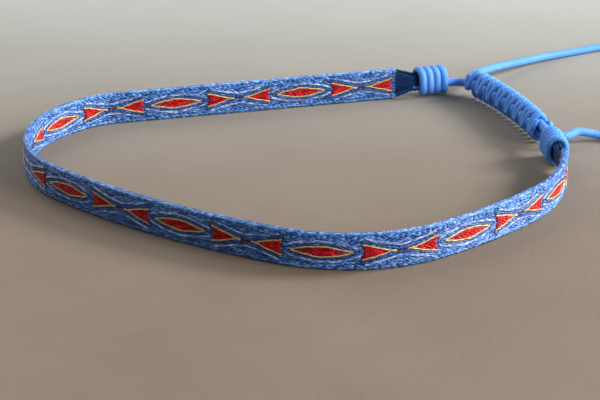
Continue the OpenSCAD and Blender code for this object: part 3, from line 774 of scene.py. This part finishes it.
# The red lanes of the lozenge at c and of the two arrowheads that point away from it
def redLanes(half, c):
    rows, tall = [], diamond["tall"] - red["diamondInset"]
    for y, odd in lanesOf(red["diamondLanes"]):
        share = abs(y) / tall
        if share < red["diamondShare"] and c + diamond["red"] < half["end"]:
            reach = diamond["red"] * (1 - share) ** (1 / diamond["power"])
            rows += fillLane(c - reach, c + reach, y, odd)
    tall, length = arrow["tall"] - red["arrowInset"], arrow["length"] * arrow["red"]
    for e, (y, odd) in product((-1, 1), lanesOf(red["arrowLanes"])):
        base, share = c + e * arrow["at"], abs(y) / tall
        fits = 0 < min(base, base + e * length) and max(base, base + e * arrow["length"]) < half["end"]
        if fits and share < red["arrowShare"]:
            notch = arrow["notch"] * (1 - share)
            tip = notch + (length - notch) * (1 - share) + red["tipPast"]
            rows += fillLane(*sorted((base + e * notch, base + e * tip)), y, odd)
    return rows


def redThreads(half, side):
    start, end, height, tone = np.array(sum([redLanes(half, c) for c in centresOf(half)], [])).T
    start, end = alongOf(half, start, end)
    rise = red["rise"] * chance.uniform(-1, 1, start.size)
    wide = red["wide"] * chance.uniform(*red["widths"], start.size)
    parts = [flatFloats(start, end, height, rise, red["low"], red["high"], wide, red["thick"],
                        np.clip(tone, red["darkest"], 1), side, red["stations"])]
    for c, e in product(centresOf(half), (-1, 1)):
        cross = c + e * halfRepeat
        inside = join["clear"] < cross < half["end"] - join["endClear"]
        if inside and (e < 0 or cross + join["room"] < half["end"]):
            ends = cross + np.array([-join["reach"], join["reach"]])
            row = clothRow(half, ends, np.zeros(2), join["out"] * side, join["spacing"])
            parts.append(sweepStrands(row, [0, 0, side], join["wide"], join["thick"], threadSides,
                                      join["tone"]))
    return parts


# The woven pieces: node and piece without the half's name, threads, yarn and slot
upperEdge, lowerEdge = band["width"] - band["edge"] / 2, band["edge"] / 2
pieces = []
for name, half in halves.items():
    woven = [
        ("weft", "WeftPicks", weftPicks(half), navyWeftAndShadeYarn, "navy weft"),
        ("outer_warp", "OuterWarpFloats", warpFace(half, 1) + darkThreads(half, 1), blueYarn, "blue warp"),
        ("inner_warp", "InnerWarpFloats", warpFace(half, -1) + darkThreads(half, -1), blueYarn, "blue warp"),
        ("upper_edge_cord", "UpperEdgeFloats", edgeFloats(half, upperEdge, 1), blueYarn, "blue warp"),
        ("lower_edge_cord", "LowerEdgeFloats", edgeFloats(half, lowerEdge, -1), blueYarn, "blue warp"),
        ("red_threads", "RedFloats", redThreads(half, 1) + redThreads(half, -1), redYarn, "red thread"),
        ("gold_threads", "GoldOutlines", goldLines(half, 1) + goldLines(half, -1), goldYarn, "gold thread"),
        ("silver_threads", "PaleOutlines", paleLines(half, 1) + paleLines(half, -1), silverYarn,
         "silver thread")]
    pieces += [(name + "_" + node, name + title, *rest) for node, title, *rest in woven]
print("woven pieces drawn")

# The band's pieces run round the left bend from one half to the other, baked where they lie
for node, name, parts, material, slotName in pieces:
    piece = makePiece(name, parts, material, layOnBand)
    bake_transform(piece)
    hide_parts(node)

# The closure: everything past the two ends of the band
highCord, lowCord = midHeight + closure["rise"], midHeight - closure["rise"]


def ridePiece(node, name, parts, body, material=cordYarn):
    piece = makePiece(name, parts, material, layOnBand)
    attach(piece, body)
    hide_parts(node)


def straightCord(start, end, height, spacing):
    return [tube(evenRow([[start, height, 0], [end, height, 0]], spacing), [0, 0, 1], cordRadius)]


# The gathered warp: the lanes of both faces, drawn together into the round of the whipping, with the two
#  edges as thicker strands and a cord inside. It is drawn dark navy as painted shade.
gather = {"stations": 22, "soon": 1.25, "lanes": 15, "lanePitch": 0.2, "shrinks": 0.6, "flatOut": 0.25,
          "roundOut": 0.44, "roundHigh": 1.15, "wave": 0.02, "thread": 0.112, "edgeThread": 0.17,
          "tighter": 0.12, "flat": 0.75, "rounder": 0.2, "sides": 7, "before": 0.3, "under": 1.2,
          "cordFrom": 0.8, "cordTo": 0.5, "beats": (2, 4), "varies": 0.2, "leastShare": 0.1, "fan": 0.25}


def gatheredWarp(sign, near, far, under, coreHeight):
    t = np.linspace(0, 1, gather["stations"])
    ease = eased(np.clip(t * gather["soon"], 0, 1))
    near, far = near - gather["before"], far + gather["under"]
    along = sign * (near + (far - near) * t)
    parts = []
    heights = [(k - gather["lanes"] // 2) * gather["lanePitch"] for k in range(gather["lanes"])]
    lanes = list(product(heights, (-1, 1)))
    for height, side in lanes + [(lowerEdge - midHeight, 0), (upperEdge - midHeight, 0)]:
        endHeight = height * gather["shrinks"]
        share = max(gather["leastShare"], 1 - (endHeight / gather["roundHigh"]) ** 2)
        beats = chance.uniform(*gather["beats"])
        wave = gather["wave"] * np.sin(2 * math.pi * (t * beats + chance.random()))
        up = midHeight + height * (1 - ease) + endHeight * ease + wave
        out = side * (gather["flatOut"] * (1 - ease) + gather["roundOut"] * math.sqrt(share) * ease)
        away = [0, height * gather["fan"], side] if side else [0, height, 0]
        radius = gather["thread"] if side else gather["edgeThread"]
        wide = radius * (1 - gather["tighter"] * ease)
        thick = radius * (gather["flat"] + gather["rounder"] * ease)
        tone = np.clip(0.5 + chance.normal(0, gather["varies"]), 0, 1)
        parts.append(sweepStrands(np.stack([along, up, out], 1), away, wide, thick, gather["sides"], tone))
    ends = sign * (far - gather["cordFrom"]), sign * (under - gather["cordTo"])
    return parts + straightCord(*ends, coreHeight, 0.4)


# A cord that goes round two others, which lie one above the other
def aroundPair(along, up, out, wide, thick):
    away = np.stack([0 * up, up - np.clip(up, -closure["rise"], closure["rise"]), out], 1)
    return sweepStrands(np.stack([along, midHeight + up, out], 1), away, wide, thick, cordShape["sides"])


# Whipping: the cord wound side by side round the two cords, its ends tucked under
whip = {"radius": 0.955, "wide": 0.52, "thick": 0.385, "perTurn": 34, "short": 0.8, "startsAt": 0.23,
        "tuck": 0.035, "tuckDepth": 0.5, "slimmest": 0.55, "hug": 3}


def wound(sign, near, far):
    t = np.linspace(0, 1, closure["turns"] * whip["perTurn"])
    turn = 2 * math.pi * ((closure["turns"] - whip["short"]) * t - whip["startsAt"])
    tuck = eased(np.clip(np.minimum(t, 1 - t) / whip["tuck"], 0, 1))
    radius = whip["radius"] - whip["tuckDepth"] * (1 - tuck)
    hug = np.tanh(whip["hug"] * np.sin(turn)) / math.tanh(whip["hug"])
    up, out = radius * np.sin(turn) + closure["rise"] * hug, radius * np.cos(turn)
    along = sign * (near + whip["wide"] + (far - near - 2 * whip["wide"]) * t)
    slim = whip["slimmest"] + (1 - whip["slimmest"]) * tuck
    return [aroundPair(along, up, out, whip["wide"] * slim, whip["thick"] * slim)]


# A square knot is two half knots. Each working cord crosses once above and once below the two cords
# inside. The row starts and ends with a short stub that dives under.
square = {"side": 1.07, "bulge": 0.12, "over": 1.46, "dip": 0.33, "bar": 0.8, "wide": 0.54, "thick": 0.39,
          "soft": 0.35, "stub": 0.36, "stubTip": 0.12, "slimmest": 0.35, "stations": 56}


def knotCords(i):
    before = square["stub"] if i == 0 else 0
    after = square["stub"] if i == closure["knots"] - 1 else 0
    t = np.linspace(-before, 2 + after, square["stations"])
    soft = square["soft"]
    swell = (np.sqrt(np.sin(math.pi * t) ** 2 + soft ** 2) - soft) / (math.sqrt(1 + soft ** 2) - soft)
    ripple = square["bar"] / (2 * math.pi) * np.sin(2 * math.pi * t)
    along = frontLength + knotStart + i * closure["knotLength"] + closure["knotLength"] / 2 * (t + ripple)
    tip = np.clip(np.minimum(t + before, 2 + after - t) / square["stubTip"], 0, 1)
    slim = np.where((t < 0) | (t > 2), square["slimmest"] + (1 - square["slimmest"]) * tip, 1)
    wide = square["thick"] + (square["wide"] - square["thick"]) * swell
    parts = []
    for s in (1, -1):
        out = -s * (square["side"] + square["bulge"] * np.cos(math.pi * t)) * np.cos(math.pi * t)
        up = s * square["over"] * (swell * (1 + square["dip"]) - square["dip"])
        parts.append(aroundPair(along, up, out, wide * slim, square["thick"] * slim))
    return parts


frontWhip, backWhip = frontLength + closure["lead"], backWhipEnd - closure["whip"]
frontWhipEnd = frontWhip + closure["whip"]
gathered = gatheredWarp(1, frontEnd, frontWhip, frontWhipEnd, lowCord)
# Both gathered ends take the dark navy yarn as painted shade
ridePiece("front_gathered_warp", "frontGatheredWarp", gathered, "front_half", navyWeftAndShadeYarn)
gathered = gatheredWarp(-1, backEnd, backWhip, backWhipEnd, highCord)
ridePiece("back_gathered_warp", "backGatheredWarp", gathered, "back_half", navyWeftAndShadeYarn)
ridePiece("front_whipping", "frontWhipping", wound(1, frontWhip, frontWhipEnd), "front_half")
ridePiece("back_whipping", "backWhipping", wound(-1, backWhip, backWhipEnd), "back_half")

# The closing cords stop short of the tails that meet them inside the knot
inKnot = closure["grip"] + closure["coreGap"] + cordShape["roundEnd"]
cordEnd = frontLength + knotEnd - inKnot
cord = straightCord(frontWhip + closure["whipGap"], cordEnd, highCord, 0.3)
ridePiece("front_closing_cord", "frontClosingCord", cord, "front_half")
cordEnd = backLength + backPath[3]["length"] + knotEnd + closure["backRoom"] - knotStart - inKnot
cord = straightCord(-(backWhip + 0.01), -cordEnd, lowCord, 0.15)
ridePiece("back_closing_cord", "backClosingCord", cord, "back_half")
for i in range(closure["knots"]):
    ridePiece("square_knot_%d" % (i + 1), "squareKnot%d" % (i + 1), knotCords(i), "sliding_knot")
print("closure made")

# Smooth painted board: warm grey, with faint mottling and a fine tooth. It is darker near the front and
# paler towards the back, and that paling is painted light. Its
#  lengths are in metres.
board = {"size": 3.0, "drop": 0.00002, "dark": "#67574A", "light": "#A8B1B0", "near": -0.03, "far": 0.13,
         "paintedPaling": 0.86, "mottle": 45.0, "mottleDetail": 6.0, "mottleRoughness": 0.62, "mottleShare": 0.16,
         "tooth": 1400.0, "toothDetail": 3.0, "relief": 0.35, "depth": 0.0001, "roughness": 0.75,
         "gloss": 0.3}


def boardMaterial():
    material, tree, place = newMaterial("paintedBoard")
    mottle = noiseNode(tree, place, board["mottle"], board["mottleDetail"], board["mottleRoughness"])
    tooth = noiseNode(tree, place, board["tooth"], board["toothDetail"])
    split = addNode(tree, "SeparateXYZ", {"Vector": place.outputs["Object"]})
    # Painted light: the colour pales towards the back, standing in for light on the far table
    span = {"From Min": board["near"], "From Max": board["far"], "To Min": 0.0, "To Max": board["paintedPaling"]}
    reach = addNode(tree, "MapRange", {"Value": split.outputs["Y"], **span}, interpolation_type="SMOOTHSTEP")
    shade = mathNode(tree, "MULTIPLY_ADD", [mottle, board["mottleShare"], reach.outputs["Result"]], True)
    addSurface(tree, tooth, board["relief"], board["depth"], {
        "Base Color": rampNode(tree, shade, [board["dark"], board["light"]]),
        "Roughness": board["roughness"], "Specular IOR Level": board["gloss"]})
    return material


bpy.ops.mesh.primitive_plane_add(size=board["size"], location=(0, 0, -board["drop"]))
table = bpy.context.object
table.name = "tableTop"
bpy.ops.object.transform_apply(location=True, rotation=False, scale=False)
table.data.materials.append(boardMaterial())

# Two windows to the right and a weak one behind, in metres and watts, each facing the middle of the loop
lamps = {"windowRight": {"place": (0.49, 0.1, 0.25), "size": 0.16, "power": 5.2, "colour": "#FFFBF6"},
         "windowFront": {"place": (0.46, -0.24, 0.24), "size": 0.3, "power": 4.0, "colour": "#FFFBF6"},
         "roomBehind": {"place": (-0.28, 0.28, 0.3), "size": 0.4, "power": 1.5, "colour": "#FFFAF2"}}
for name, lamp in lamps.items():
    bpy.ops.object.light_add(type="AREA", location=lamp["place"])
    made = bpy.context.object
    made.name = name
    made.data.size = lamp["size"]
    made.data.energy = lamp["power"]
    made.data.color = linearColour(lamp["colour"])[:3]
    away = np.array(lamp["place"])
    tilt = math.acos(away[2] / np.linalg.norm(away))
    made.rotation_euler = (tilt, 0, math.atan2(away[1], away[0]) + math.pi / 2)

room = {"colour": "#DCE0E2", "strength": 0.44}
world = bpy.data.worlds.new("paleRoom")
bpy.context.scene.world = world
world.use_nodes = True
background = world.node_tree.nodes["Background"]
background.inputs["Color"].default_value = linearColour(room["colour"])
background.inputs["Strength"].default_value = room["strength"]
bpy.context.scene.view_settings.view_transform = "Standard"
print("table and light set")
